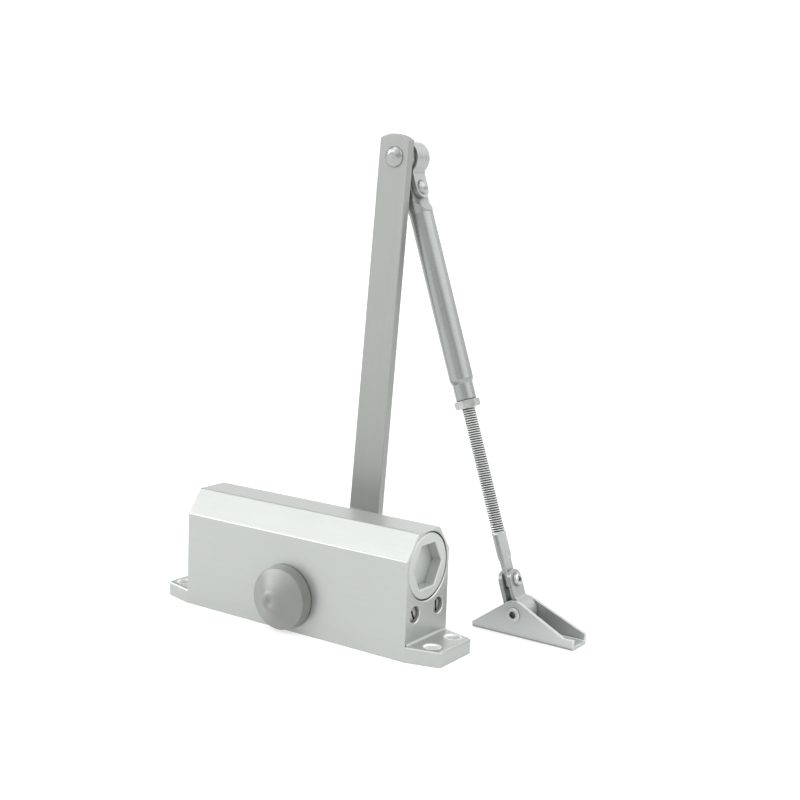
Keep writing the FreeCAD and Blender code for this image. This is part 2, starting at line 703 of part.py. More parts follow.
def arm_edge(e):
    """Outline edges on the two faces of the upper bar."""
    m = mid(e)
    on_face = min(abs(m.y - num(S.arm_bar_front)), abs(m.y - num(S.arm_bar_front) - num(S.arm_thick))) < 0.01
    p, q = e.Vertexes[0].Point, e.Vertexes[-1].Point
    flat_ = abs(p.y - q.y) < 0.01 and abs(p.y - m.y) < 0.01
    return on_face and flat_ and m.z > 45


def arm_tip(e):
    """The two corners across the thickness at the top end."""
    p, q = e.Vertexes[0].Point, e.Vertexes[-1].Point
    return abs(p.z - zc) < 0.05 and abs(q.z - zc) < 0.05 and abs(p.y - q.y) > 4


arm_tips = fillet("arm_tips", arm_blank, 0.9, arm_tip)
arm_round = fillet("arm_round", arm_tips, 0.45, arm_edge)
hub_hole = doc.addObject("Part::Box", "arm_square")
bind(hub_hole, "Length", S.square_flats + 0.1)
bind(hub_hole, "Height", S.square_flats + 0.1)
hub_hole.Width = 60.0
hub_hole.Placement = Placement(Vector(-half_sq - 0.05, -10, -half_sq - 0.05), Rotation())
stud_hole = cylinder("arm_stud_hole", 3.5, 60.0, Vector(num(S.stud_shift), 10, num(S.stud_reach)), Y)
main_arm = node("main_arm", cut("main_arm", arm_round, fuse("arm_holes", [hub_hole, stud_hole])))
main_arm.Placement = arm_place

pad_back = num(S.arm_pad_front) + num(S.arm_thick)
washer = turned("arm_washer", [(3.2, 0), (8.0, 0), (8.0, 1.2), (7.6, 1.5), (3.2, 1.5)])
washer.Placement = Placement(Vector(PX, pad_back, PZ), TO_Y)
node("arm_washer", washer)
screw = turned("arm_screw_blank", [(0, -14.0), (2.55, -14.0), (2.55, 0), (5.7, 0), (5.77, 0.3), (5.77, 3.6), (5.0, 4.0), (0, 4.0)])
hexhead = new_body("arm_screw_hex")
sk = new_sketch(hexhead, "arm_screw_flats", "XY_Plane", -15.0)
polygon(sk, [(10.0 / math.sqrt(3) * math.cos(math.radians(a)), 10.0 / math.sqrt(3) * math.sin(math.radians(a)))
             for a in (75, 135, 195, 255, 315, 15)])
pad(hexhead, sk, 30.0)
arm_screw = node("arm_screw", common("arm_screw", screw, hexhead))
arm_screw.Placement = Placement(Vector(PX, pad_back + 1.5, PZ), TO_Y)

# ------------------------------------------------------------- elbow stud
lean_rot = Rotation(Y, LEAN)
stud_at = Vector(PX, 0, PZ) + lean_rot.multVec(Vector(num(S.stud_shift), 0, num(S.stud_reach)))
SX, SZ = stud_at.x, stud_at.z
bar_front, bar_back = num(S.arm_bar_front), num(S.arm_bar_front) + num(S.arm_thick)
FY = num(S.fore_y)
hs = num(S.strap_width) / 2
strap_f, strap_b = FY - hs, FY + hs
kb = num(S.knuckle_bore)
stud = turned("elbow_stud", [
    (0, bar_front - 2.1), (2.35, bar_front - 2.1), (2.7, bar_front - 1.95), (4.1, bar_front - 1.35), (5.0, bar_front - 0.8),
    (5.4, bar_front - 0.35), (5.4, bar_front),
    (3.48, bar_front), (3.48, bar_back), (7.4, bar_back), (7.4, strap_f - 0.5), (7.1, strap_f - 0.2),
    (kb - 0.08, strap_f - 0.2), (kb - 0.08, strap_b + 0.2), (3.0, strap_b + 0.2), (3.0, strap_b + 1.6),
    (4.4, strap_b + 1.6), (3.6, strap_b + 2.6), (0, strap_b + 2.9)])
stud.Placement = Placement(Vector(SX, 0, SZ), TO_Y)
node("elbow_stud", stud)
ewash = turned("elbow_washer", [(3.05, 0.25), (7.9, 0.25), (7.9, 1.3), (7.6, 1.6), (3.05, 1.6)])
ewash.Placement = Placement(Vector(SX, strap_b, SZ), TO_Y)
node("elbow_washer", ewash)

# ------------------------------------------------------------------ straps
# Own frame: X from the loop centre towards the cross pin, Y across the strap,
# Z towards the pin's head.
off, pin_s = num(S.fore_offset), num(S.strap_pin)


def strap_solid(name, sign, st, sb, sg):
    """Bent strap: loop, ogee bends and two legs; sign=1 legs along +X."""
    rm = sb + st / 2
    n_r = off + sg / 2 + st / 2
    n_l = off - sg / 2 - st / 2
    rc = 4.0
    leg = pin_s + hs + 0.2

    def bend(n, outward):
        cn = n + outward * rc
        cs = math.sqrt((rm + rc) ** 2 - cn ** 2)
        return cn, cs

    cnr, csr = bend(n_r, 1)
    cnl, csl = bend(n_l, -1)

    def v(s, n):
        return Vector(sign * s, n, 0)

    def seg(a, b):
        return Part.LineSegment(a, b)

    def arc(cs, cn, r, a, b, ma):
        return Part.Arc(a, v(cs + r * math.cos(ma), cn + r * math.sin(ma)), b)

    def on(cs, cn, r, ang):
        return v(cs + r * math.cos(ang), cn + r * math.sin(ang))

    ar = math.atan2(cnr, csr)
    al = math.atan2(cnl, csl)
    h = st / 2
    ro, ri = rm + h, rm - h
    tro, tlo = on(0, 0, ro, ar), on(0, 0, ro, al)
    tri, tli = on(0, 0, ri, ar), on(0, 0, ri, al)
    out_r, out_l = v(csr, n_r + h), v(csl, n_l - h)
    in_r, in_l = v(csr, n_r - h), v(csl, n_l + h)
    curves = [
        seg(v(leg, n_r + h), out_r),
        arc(csr, cnr, rc - h, out_r, tro, ((ar + math.pi) + (1.5 * math.pi)) / 2),
        Part.Arc(tro, on(0, 0, ro, (ar + al + 2 * math.pi) / 2), tlo),
        arc(csl, cnl, rc - h, tlo, out_l, ((al + math.pi) + (0.5 * math.pi)) / 2),
        seg(out_l, v(leg, n_l - h)),
        seg(v(leg, n_l - h), v(leg, n_l + h)),
        seg(v(leg, n_l + h), in_l),
        arc(csl, cnl, rc + h, in_l, tli, ((al + math.pi) + (0.5 * math.pi)) / 2),
        Part.Arc(tli, on(0, 0, ri, (ar + al + 2 * math.pi) / 2), tri),
        arc(csr, cnr, rc + h, tri, in_r, ((ar + math.pi) + (1.5 * math.pi)) / 2),
        seg(in_r, v(leg, n_r - h)),
        seg(v(leg, n_r - h), v(leg, n_r + h)),
    ]
    band = new_body(name + "_band")
    sk_ = new_sketch(band, name + "_section", "XZ_Plane")
    free_profile(sk_, curves)
    pad(band, sk_, S.strap_width, symmetric=True)
    plan = new_body(name + "_plan")
    sk_ = new_sketch(plan, name + "_outline", "XY_Plane")
    w0, w1 = Vector(-sign * 12, -hs, 0), Vector(-sign * 12, hs, 0)
    e0, e1, tipv = Vector(sign * pin_s, hs, 0), Vector(sign * pin_s, -hs, 0), Vector(sign * (pin_s + hs), 0, 0)
    free_profile(sk_, [Part.LineSegment(w0, w1), Part.LineSegment(w1, e0), Part.Arc(e0, tipv, e1), Part.LineSegment(e1, w0)])
    pad(plan, sk_, 60.0, symmetric=True)
    return common(name + "_blank", band, plan)


fore_rot = Rotation(Y, num(S.fore_angle))
fore_place = Placement(Vector(SX, FY, SZ), fore_rot)
shoe_pivot = Vector(SX, FY, SZ) + fore_rot.multVec(Vector(num(S.fore_length), 0, 0))
print("elbow stud", SX, SZ, "shoe rivet", shoe_pivot.x, shoe_pivot.z)

st, sb, sg = num(S.knuckle_thick), num(S.knuckle_bore), num(S.knuckle_gap)
kn = cut("elbow_knuckle", strap_solid("knuckle", 1, st, sb, sg),
         cylinder("knuckle_pin_hole", 2.55, 40.0, Vector(pin_s, 0, -20), Z))
kn.Placement = fore_place
node("elbow_knuckle", kn)

n_out_r, n_out_l = off + sg / 2 + st, off - sg / 2 - st
pin = turned("elbow_pin", [
    (0, n_out_l - 1.7), (1.6, n_out_l - 1.5), (2.8, n_out_l - 0.9), (3.5, n_out_l - 0.1), (3.5, n_out_l),
    (2.5, n_out_l), (2.5, n_out_r), (3.9, n_out_r), (3.9, n_out_r + 0.25), (3.6, n_out_r + 0.9), (2.9, n_out_r + 1.55),
    (2.0, n_out_r + 2.05), (1.0, n_out_r + 2.33), (0, n_out_r + 2.4)])
pin.Placement = fore_place.multiply(Placement(Vector(pin_s, 0, 0), Rotation()))
node("elbow_pin", pin)

# ------------------------------------------------------------ forearm tube
# Own frame: X down the forearm from the elbow stud, Z as for the strap.
tr, nr = S.tube_radius, S.neck_radius
tube_turn = turned("tube_turn", [
    (0, 8.0), (8.0, 8.0), (8.0, 22.0), (tr, 30.5), (tr, S.neck_start - 2.0), (tr - 0.25, S.neck_start - 1.0), (nr, S.neck_start + 0.4),
    (nr, S.tube_end - 0.3), (nr - 0.3, S.tube_end), (S.rod_radius + 0.08, S.tube_end), (S.rod_radius + 0.08, 118.0),
    (4.6, 115.0), (4.6, 58.0), (0, 54.0)])
tube_turn.Placement = Placement(Vector(0, 0, off), TO_X)
tt = num(S.tube_tongue) / 2
rt = num(S.tube_radius) + 1.0
sc0, sc1 = 23.2, 32.4


def ease(t):
    return t * t * (3 - 2 * t)


top = [Vector(4, off + tt, 0), Vector(sc0, off + tt, 0)]
bot = [Vector(4, off - tt, 0), Vector(sc0, off - tt, 0)]
steps = 6
curve_t = [Vector(sc0 + (sc1 - sc0) * i / steps, off + tt + (rt - tt) * ease(i / steps) ** 1.0, 0) for i in range(steps + 1)]
curve_b = [Vector(p.x, 2 * off - p.y, 0) for p in curve_t]
spt, spb = Part.BSplineCurve(), Part.BSplineCurve()
spt.interpolate(curve_t)
spb.interpolate(curve_b)
side_wire = Part.Wire([
    Part.LineSegment(top[0], top[1]).toShape(), spt.toShape(),
    Part.LineSegment(curve_t[-1], Vector(140, curve_t[-1].y, 0)).toShape(),
    Part.LineSegment(Vector(140, curve_t[-1].y, 0), Vector(140, curve_b[-1].y, 0)).toShape(),
    Part.LineSegment(Vector(140, curve_b[-1].y, 0), curve_b[-1]).toShape(), spb.toShape(),
    Part.LineSegment(bot[1], bot[0]).toShape(), Part.LineSegment(bot[0], top[0]).toShape()])
side_shape = Part.Face(side_wire)
side_shape.rotate(Vector(0, 0, 0), X, 90)
side_shape.translate(Vector(0, 20, 0))
tube_side = feature("tube_side_press", side_shape.extrude(Vector(0, -40, 0)))
tube_plan = new_body("tube_plan")
sk = new_sketch(tube_plan, "tube_plan_outline", "XY_Plane")
te, tw_, tc_ = 12.0, 7.4, 3.6
tk = tc_ * math.sqrt(0.5)
free_profile(sk, [
    Part.LineSegment(Vector(140, 10, 0), Vector(30.5, 10, 0)), Part.LineSegment(Vector(30.5, 10, 0), Vector(22.5, tw_ + 0.3, 0)),
    Part.LineSegment(Vector(22.5, tw_ + 0.3, 0), Vector(te + tc_, tw_, 0)),
    Part.Arc(Vector(te + tc_, tw_, 0), Vector(te + tc_ - tk, tw_ - tc_ + tk, 0), Vector(te, tw_ - tc_, 0)),
    Part.LineSegment(Vector(te, tw_ - tc_, 0), Vector(te, tc_ - tw_, 0)),
    Part.Arc(Vector(te, tc_ - tw_, 0), Vector(te + tc_ - tk, tc_ - tw_ - tk, 0), Vector(te + tc_, -tw_, 0)),
    Part.LineSegment(Vector(te + tc_, -tw_, 0), Vector(22.5, -tw_ - 0.3, 0)),
    Part.LineSegment(Vector(22.5, -tw_ - 0.3, 0), Vector(30.5, -10, 0)),
    Part.LineSegment(Vector(30.5, -10, 0), Vector(140, -10, 0)), Part.LineSegment(Vector(140, -10, 0), Vector(140, 10, 0))])
pad(tube_plan, sk, 60.0, symmetric=True)
tube_blank = common("tube_blank", common("tube_pressed", tube_turn, tube_side), tube_plan)
tube = cut("forearm_tube", tube_blank, cylinder("tube_pin_hole", 2.55, 40.0, Vector(pin_s, 0, -20), Z))
tube.Placement = fore_place
node("forearm_tube", tube)

# lock nut against the tube's end
nut_turn = turned("lock_nut_turn", [
    (S.rod_radius + 0.09, 0), (S.nut_flats / 2, 0), (S.nut_flats / 2 + 0.85, 0.5), (S.nut_flats / 2 + 0.85, S.nut_thick - 0.5),
    (S.nut_flats / 2, S.nut_thick), (S.rod_radius + 0.09, S.nut_thick)])
nut_hex = new_body("lock_nut_hex")
sk = new_sketch(nut_hex, "lock_nut_flats", "XY_Plane")
rn = num(S.nut_flats) / math.sqrt(3)
polygon(sk, [(rn * math.cos(math.radians(a)), rn * math.sin(math.radians(a))) for a in (80, 140, 200, 260, 320, 20)])
pad(nut_hex, sk, S.nut_thick)
lock_nut = common("lock_nut", nut_turn, nut_hex)
lock_nut.Placement = fore_place.multiply(Placement(Vector(num(S.tube_end) + 0.1, 0, off), TO_X))
node("lock_nut", lock_nut)

# ------------------------------------------------------------ adjuster rod
FL = num(S.fore_length)
scr = FL - pin_s
rod_bar = turned("rod_bar", [
    (0, S.rod_start), (S.rod_radius - 0.6, S.rod_start), (S.rod_radius, S.rod_start + 0.8), (S.rod_radius, 205.0),
    (S.shank_radius, 205.4), (S.shank_radius, scr + 8.0), (0, scr + 8.0)])
rod_bar.Placement = Placement(Vector(0, 0, off), TO_X)
tt = num(S.tongue_thick) / 2
flat_side = new_body("rod_side")
sk = new_sketch(flat_side, "rod_press", "XZ_Plane")
rr = num(S.rod_radius) + 1.0
pr = [(80.0, rr), (216.4, rr), (216.9, 3.6), (218.6, tt + 0.25), (219.4, tt), (scr + 8, tt)]
polygon(sk, [(x, off + y) for x, y in pr] + [(x, off - y) for x, y in reversed(pr)])
pad(flat_side, sk, 40.0, symmetric=True)
flat_plan = new_body("rod_plan")
sk = new_sketch(flat_plan, "rod_outline", "XY_Plane")
rw = num(S.rod_radius) + 0.4
free_profile(sk, [
    Part.LineSegment(Vector(80, -rw, 0), Vector(80, rw, 0)), Part.LineSegment(Vector(80, rw, 0), Vector(scr, rw, 0)),
    Part.Arc(Vector(scr, rw, 0), Vector(scr + rw, 0, 0), Vector(scr, -rw, 0)),
    Part.LineSegment(Vector(scr, -rw, 0), Vector(80, -rw, 0))])
pad(flat_plan, sk, 60.0, symmetric=True)
rod_end = common("rod_flats", flat_side, flat_plan)
rod = cut("adjuster_rod", common("rod_solid", rod_bar, rod_end),
          cylinder("rod_screw_hole", 2.35, 40.0, Vector(scr, 0, -20), Z))
rod.Placement = fore_place
node("adjuster_rod", rod)

# cross-recess screw through swivel strap and rod end
st, sb, sg = num(S.strap_thick), num(S.strap_bore), num(S.strap_gap)
n_out_r, n_out_l = off + sg / 2 + st, off - sg / 2 - st
rs = turned("rod_screw_blank", [
    (0, n_out_l + 0.2), (1.9, n_out_l + 0.2), (2.3, n_out_l + 0.7), (2.3, n_out_r), (3.5, n_out_r), (3.5, n_out_r + 0.9),
    (3.1, n_out_r + 1.7), (2.2, n_out_r + 2.2), (0, n_out_r + 2.4)])
cross = []
for i, a in enumerate((20, 110)):
    c = doc.addObject("Part::Wedge", "cross_recess_%d" % i)
    c.Xmin, c.Xmax, c.Zmin, c.Zmax = -1.9, 1.9, -0.45, 0.45
    c.X2min, c.X2max, c.Z2min, c.Z2max = -0.7, 0.7, -0.35, 0.35
    c.Ymin, c.Ymax = 0.0, 1.9
    # the wedge narrows along its own Y, which is laid into the head
    c.Placement = Placement(Vector(0, 0, n_out_r + 2.5), Rotation(Z, a).multiply(Rotation(X, -90)))
    cross.append(c)
rsc = cut("rod_screw", rs, fuse("cross_recess", cross))
rsc.Placement = fore_place.multiply(Placement(Vector(scr, 0, 0), Rotation()))
node("rod_screw", rsc)

# ------------------------------------------------------------- shoe swivel
swivel_place = Placement(shoe_pivot, fore_rot)
sw = cut("shoe_swivel", strap_solid("swivel", -1, st, sb, sg),
         cylinder("swivel_pin_hole", 2.35, 40.0, Vector(-pin_s, 0, -20), Z))
sw.Placement = swivel_place
node("shoe_swivel", sw)

# -------------------------------------------------------------------- shoe
RX, RZ = shoe_pivot.x, shoe_pivot.z
er_ = num(S.shoe_ear_radius)


def tangent(px, pz, right):
    """Point where a line from (px, pz) touches the ear's rounded top."""
    dx, dz = px - RX, pz - RZ
    d = math.hypot(dx, dz)
    base = math.atan2(dz, dx)
    a = math.acos(er_ / d)
    t = base + a if right else base - a
    return Vector(RX + er_ * math.cos(t), RZ + er_ * math.sin(t), 0)


sl, sr, lip, lh = num(S.shoe_left), num(S.shoe_right), num(S.shoe_lip), num(S.shoe_left_height)
hsw = num(S.shoe_width) / 2
kx = sr - 5.8
top_z = RZ + er_ + 1.0
shoe_block = new_body("shoe_block")
sk = new_sketch(shoe_block, "shoe_blank", "XZ_Plane")
polygon(sk, [(sl, 0), (sr, 0), (sr, top_z), (sl, top_z)])
pad(shoe_block, sk, S.shoe_width, symmetric=True)
doc.recompute()


def ear_cutter(name, run, depth):
    """What is cut away above one ear; run is the ear's edge to the right of its rounded top."""
    tl, tr_ = tangent(sl, lh, False), tangent(run[0][0], run[0][1], True)
    fall = (tl.y - lh) / (tl.x - sl)
    pts = [(sl - 1.0, lh - fall), (tl.x, tl.y)]
    right = [(tr_.x, tr_.y)] + run + [(sr + 1.0, 60.0), (sl - 1.0, 60.0), pts[0]]
    v3 = [Vector(a, 0, b) for a, b in pts]
    r3 = [Vector(a, 0, b) for a, b in right]
    edges = [Part.LineSegment(v3[0], v3[1]).toShape(), Part.Arc(v3[1], Vector(RX, 0, RZ + er_), r3[0]).toShape()]
    edges += [Part.LineSegment(a, b).toShape() for a, b in zip(r3, r3[1:])]
    return feature(name, Part.Face(Part.Wire(edges)).extrude(Vector(0, depth, 0)))


end_t = tangent(sr, lip, True)
end_fall = (end_t.y - lip) / (sr - end_t.x)
front_cut = ear_cutter("shoe_front_ear_cut", [(kx, lip), (sr + 1.0, lip)], -hsw - 1.0)
back_cut = ear_cutter("shoe_back_ear_cut", [(sr + 1.0, lip - end_fall)], hsw + 1.0)


def shoe_bend(e):
    p, q = e.Vertexes[0].Point, e.Vertexes[-1].Point
    return abs(p.x - q.x) > 50 and abs(p.z) < 0.01 and abs(q.z) < 0.01


shoe_round = fillet("shoe_round", shoe_block, 1.6, shoe_bend)
shoe_in = new_body("shoe_channel")
sk = new_sketch(shoe_in, "shoe_channel_section", "YZ_Plane", sl - 5)
iw = num(S.shoe_width) / 2 - num(S.shoe_sheet)
t_ = num(S.shoe_sheet)
q = 0.8
free_profile(sk, [
    Part.LineSegment(Vector(-iw + q, t_, 0), Vector(iw - q, t_, 0)),
    Part.Arc(Vector(iw - q, t_, 0), Vector(iw - q + q * math.sin(math.pi / 4), t_ + q - q * math.cos(math.pi / 4), 0), Vector(iw, t_ + q, 0)),
    Part.LineSegment(Vector(iw, t_ + q, 0), Vector(iw, 40, 0)), Part.LineSegment(Vector(iw, 40, 0), Vector(-iw, 40, 0)),
    Part.LineSegment(Vector(-iw, 40, 0), Vector(-iw, t_ + q, 0)),
    Part.Arc(Vector(-iw, t_ + q, 0), Vector(-iw + q - q * math.sin(math.pi / 4), t_ + q - q * math.cos(math.pi / 4), 0), Vector(-iw + q, t_, 0))])
pad(shoe_in, sk, sr - sl + 10)
shoe_tools = [front_cut, back_cut, shoe_in, cylinder("shoe_rivet_hole", S.rivet_radius + 0.02, 40.0, Vector(RX, -20, RZ), Y)]
hole_mid = RX + 4.1
for i in (-1, 1):
    shoe_tools.append(cylinder("shoe_fix", S.shoe_hole_radius, 10.0,
                               Vector(hole_mid + i * num(S.shoe_hole_pitch) / 2, 0, -1), Z))
print("shoe hole centre", hole_mid)
shoe = cut("shoe_bracket", shoe_round, fuse("shoe_tools", shoe_tools))
shoe.Placement = Placement(Vector(0, FY, 0), Rotation())
node("shoe_bracket", shoe)

rv = turned("shoe_rivet", [
    (2.0, -hsw - 1.1), (3.0, -hsw - 1.1), (3.75, -hsw - 0.6), (3.75, -hsw), (S.rivet_radius, -hsw),
    (S.rivet_radius, hsw), (4.6, hsw), (4.6, hsw + 0.5), (3.6, hsw + 1.3), (0, hsw + 1.6), (0, -hsw + 1.5), (2.0, -hsw + 1.5)])
rv.Placement = Placement(Vector(RX, FY, RZ), TO_Y)
node("shoe_rivet", rv)
sl_half = hsw - num(S.shoe_sheet) - 0.02
slv = turned("shoe_sleeve", [(S.rivet_radius + 0.03, -sl_half), (S.strap_bore - 0.08, -sl_half), (S.strap_bore - 0.08, sl_half), (S.rivet_radius + 0.03, sl_half)])
slv.Placement = Placement(Vector(RX, FY, RZ), TO_Y)
node("shoe_sleeve", slv)

# ------------------------------------------------------------ check, write
doc.recompute()
bad = [o.Name for o in doc.Objects if "Invalid" in o.State or "Error" in o.State]
for label, o in NODES.items():
    sh = o.Shape
    if sh.isNull() or not sh.isValid():
        bad.append("shape of " + label)
    elif not sh.Solids:
        bad.append("no solid in " + label)
if bad:
    raise RuntimeError("failed: " + ", ".join(bad))
os.makedirs("parts", exist_ok=True)
for label, o in NODES.items():
    o.Shape.exportStep("parts/%s.step" % label)
    bb = o.Shape.BoundBox
    print("%-20s solids %d vol %9.1f  X %.2f..%.2f Y %.2f..%.2f Z %.2f..%.2f" % (
        label, len(o.Shape.Solids), o.Shape.Volume, bb.XMin, bb.XMax, bb.YMin, bb.YMax, bb.ZMin, bb.ZMax))
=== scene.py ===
import math

import bmesh
import bpy
from mathutils import Matrix, Vector


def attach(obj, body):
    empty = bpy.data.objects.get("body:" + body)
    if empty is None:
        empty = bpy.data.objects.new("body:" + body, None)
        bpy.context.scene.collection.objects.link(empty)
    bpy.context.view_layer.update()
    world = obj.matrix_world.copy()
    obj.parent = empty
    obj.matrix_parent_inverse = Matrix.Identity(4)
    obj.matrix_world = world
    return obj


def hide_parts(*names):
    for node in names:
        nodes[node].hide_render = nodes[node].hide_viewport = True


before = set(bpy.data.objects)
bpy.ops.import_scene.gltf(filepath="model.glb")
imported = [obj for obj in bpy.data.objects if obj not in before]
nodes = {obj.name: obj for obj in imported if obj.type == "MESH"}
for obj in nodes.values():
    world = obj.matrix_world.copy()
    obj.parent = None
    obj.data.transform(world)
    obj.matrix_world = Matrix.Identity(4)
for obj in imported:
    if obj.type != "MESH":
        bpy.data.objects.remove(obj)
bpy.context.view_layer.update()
scene = bpy.context.scene

MM = 0.001

# ---------------------------------------------------------------- linkage axes
# The same numbers as in the part's source, in metres.
ELBOW = Vector((0.0128229, 0.0575, 0.2453361))
SLOPE = math.radians(70.846)
D = Vector((math.cos(SLOPE), 0.0, -math.sin(SLOPE)))      # down the forearm
N = Vector((math.sin(SLOPE), 0.0, math.cos(SLOPE)))       # out of the strap legs
Y = Vector((0.0, 1.0, 0.0))
FORE_AXIS = ELBOW - 1.6 * MM * N                          # a point on the tube's axis
SPINDLE = Vector((-0.0028, 0.0, 0.01815))
BORE_Z = 0.0447

# ------------------------------------------------------------------- materials


class Tree:
    """A node material with short calls for the nodes that are used here."""

    def __init__(self, name, metallic=0.0, roughness=0.5):
        self.mat = bpy.data.materials.new(name)
        self.mat.use_nodes = True
        self.nt = self.mat.node_tree
        self.bsdf = next(n for n in self.nt.nodes if n.type == "BSDF_PRINCIPLED")
        self.bsdf.inputs["Metallic"].default_value = metallic
        self.bsdf.inputs["Roughness"].default_value = roughness
        self.co = self.add("ShaderNodeTexCoord").outputs["Object"]

    def add(self, kind, **props):
        n = self.nt.nodes.new(kind)
        for k, v in props.items():
            setattr(n, k, v)
        return n

    def put(self, value, socket):
        if isinstance(value, bpy.types.NodeSocket):
            self.nt.links.new(value, socket)
        elif hasattr(socket.default_value, "__len__") and not hasattr(value, "__len__"):
            socket.default_value = [value] * len(socket.default_value)
        elif hasattr(value, "__len__") and len(socket.default_value) == 4 and len(value) == 3:
            socket.default_value = (*value, 1.0)
        else:
            socket.default_value = value

    def set(self, **sockets):
        for k, v in sockets.items():
            self.put(v, self.bsdf.inputs[k.replace("_", " ")])
        return self

    def math(self, op, a, b=0.0, clamp=False):
        n = self.add("ShaderNodeMath", operation=op, use_clamp=clamp)
        self.put(a, n.inputs[0])
        self.put(b, n.inputs[1])
        return n.outputs[0]

    def vec(self, op, a, b=(0.0, 0.0, 0.0)):
        n = self.add("ShaderNodeVectorMath", operation=op)
        self.put(a, n.inputs[0])
        self.put(b, n.inputs[1])
        return n.outputs["Value"] if op in ("DOT_PRODUCT", "LENGTH", "DISTANCE") else n.outputs["Vector"]

    def scaled(self, scale, co=None):
        """The coordinates times a scale for each axis, to stretch a pattern."""
        return self.vec("MULTIPLY", co or self.co, scale)

    def axes(self, origin, x, y, z):
        """Coordinates along three directions, from a point."""
        rel = self.vec("SUBTRACT", self.co, tuple(origin))
        n = self.add("ShaderNodeCombineXYZ")
        for i, a in enumerate((x, y, z)):
            self.put(self.vec("DOT_PRODUCT", rel, tuple(a)), n.inputs[i])
        return n.outputs[0]

    def split(self, v):
        n = self.add("ShaderNodeSeparateXYZ")
        self.put(v, n.inputs[0])
        return n.outputs

    def noise(self, scale, co=None, detail=3.0, rough=0.55, distort=0.0):
        n = self.add("ShaderNodeTexNoise", noise_dimensions="3D")
        self.put(co or self.co, n.inputs["Vector"])
        n.inputs["Scale"].default_value = scale
        n.inputs["Detail"].default_value = detail
        n.inputs["Roughness"].default_value = rough
        n.inputs["Distortion"].default_value = distort
        return n.outputs["Fac"]

    def cells(self, scale, co=None):
        """A random number for each small cell, for flakes."""
        n = self.add("ShaderNodeTexVoronoi", feature="F1")
        self.put(co or self.co, n.inputs["Vector"])
        n.inputs["Scale"].default_value = scale
        return self.vec("DOT_PRODUCT", n.outputs["Color"], (0.34, 0.33, 0.33))

    def span(self, v, a, b, lo=0.0, hi=1.0, smooth=False):
        n = self.add("ShaderNodeMapRange", interpolation_type="SMOOTHSTEP" if smooth else "LINEAR")
        self.put(v, n.inputs["Value"])
        for k, x in (("From Min", a), ("From Max", b), ("To Min", lo), ("To Max", hi)):
            n.inputs[k].default_value = x
        return n.outputs["Result"]

    def mix(self, fac, a, b):
        n = self.add("ShaderNodeMix", data_type="RGBA", clamp_factor=True)
        self.put(fac, n.inputs["Factor"])
        self.put(a, next(s for s in n.inputs if s.name == "A" and s.type == "RGBA"))
        self.put(b, next(s for s in n.inputs if s.name == "B" and s.type == "RGBA"))
        return next(s for s in n.outputs if s.type == "RGBA")

    def bump(self, height, strength, distance, normal=None):
        n = self.add("ShaderNodeBump")
        n.inputs["Strength"].default_value = strength
        n.inputs["Distance"].default_value = distance
        self.put(height, n.inputs["Height"])
        if normal is not None:
            self.put(normal, n.inputs["Normal"])
        return n.outputs["Normal"]

    def edge(self, radius):
        """About 1 on sharp outer or inner edges and 0 on flat faces."""
        bev = self.add("ShaderNodeBevel", samples=4)
        bev.inputs["Radius"].default_value = radius
        geo = self.add("ShaderNodeNewGeometry")
        return self.math("SUBTRACT", 1.0, self.vec("DOT_PRODUCT", bev.outputs[0], geo.outputs["Normal"]))

    def hollow(self, distance):
        """About 1 in the open and towards 0 in narrow gaps."""
        ao = self.add("ShaderNodeAmbientOcclusion", samples=6)
        ao.inputs["Distance"].default_value = distance
        return ao.outputs["AO"]

    def done(self, *names):
        for n in names:
            o = nodes[n]
            if not o.data.materials:
                o.data.materials.append(self.mat)
            for i in range(len(o.material_slots)):
                o.material_slots[i].link = "OBJECT"
                o.material_slots[i].material = self.mat
        return self.mat


def tint(c, k):
    return tuple(min(1.0, x * k) for x in c)


def paint(name, base, metallic, roughness, grain_co=None, streak=(30.0, 1500.0, 1500.0), flake=5200.0,
          contrast=0.06, wear_and_highlight=0.35, peel=0.10, shade_gap=0.004):
    """Satin silver paint: flakes, faint drawn streaks, orange peel, lighter edges that are partly rubbed wear and
    partly painted highlight, and painted shade darkening the narrow gaps.
    """
    t = Tree(name, metallic, roughness)
    co = grain_co(t) if grain_co else t.co
    lines = t.noise(1.0, t.scaled(streak, co), detail=4.0, rough=0.6)
    fine = t.noise(2400.0, co, detail=2.0)
    cloud = t.noise(26.0, co, detail=2.5)
    flakes = t.cells(flake, co)
    mixv = t.math("ADD", t.math("MULTIPLY", lines, 0.42), t.math("MULTIPLY", flakes, 0.22))
    mixv = t.math("ADD", mixv, t.math("MULTIPLY", fine, 0.16))
    mixv = t.math("ADD", mixv, t.math("MULTIPLY", cloud, 0.20))
    tone = t.mix(t.span(mixv, 0.30, 0.70), tint(base, 1 - contrast), tint(base, 1 + contrast))
    # edges lighter: partly rubbed wear, partly a painted highlight along the rounded edges
    worn_and_highlit = t.math("MULTIPLY", t.span(t.edge(0.0008), 0.02, 0.20), wear_and_highlight)
    worn_and_highlit = t.math("MULTIPLY", worn_and_highlit, t.span(t.noise(300.0, co, detail=3.0), 0.25, 0.6))
    tone = t.mix(worn_and_highlit, tone, tint(base, 1.9))
    if shade_gap:
        # painted shade: the colour darkens towards near black in narrow gaps and corners where shade falls
        tone = t.mix(t.span(t.hollow(shade_gap), 0.12, 0.78, 0.80, 0.0), tone, tint(base, 0.06))
    rough = t.math("ADD", t.span(fine, 0.3, 0.7, -0.05, 0.05), t.span(lines, 0.3, 0.7, roughness - 0.04, roughness + 0.06))
    relief = t.math("ADD", t.math("MULTIPLY", fine, 0.7), t.math("MULTIPLY", lines, 0.5))
    return t, tone, rough, relief, co


def finish_paint(t, tone, rough, relief, peel):
    t.set(Base_Color=tone, Roughness=rough, Normal=t.bump(relief, peel, 0.00006))
    return t


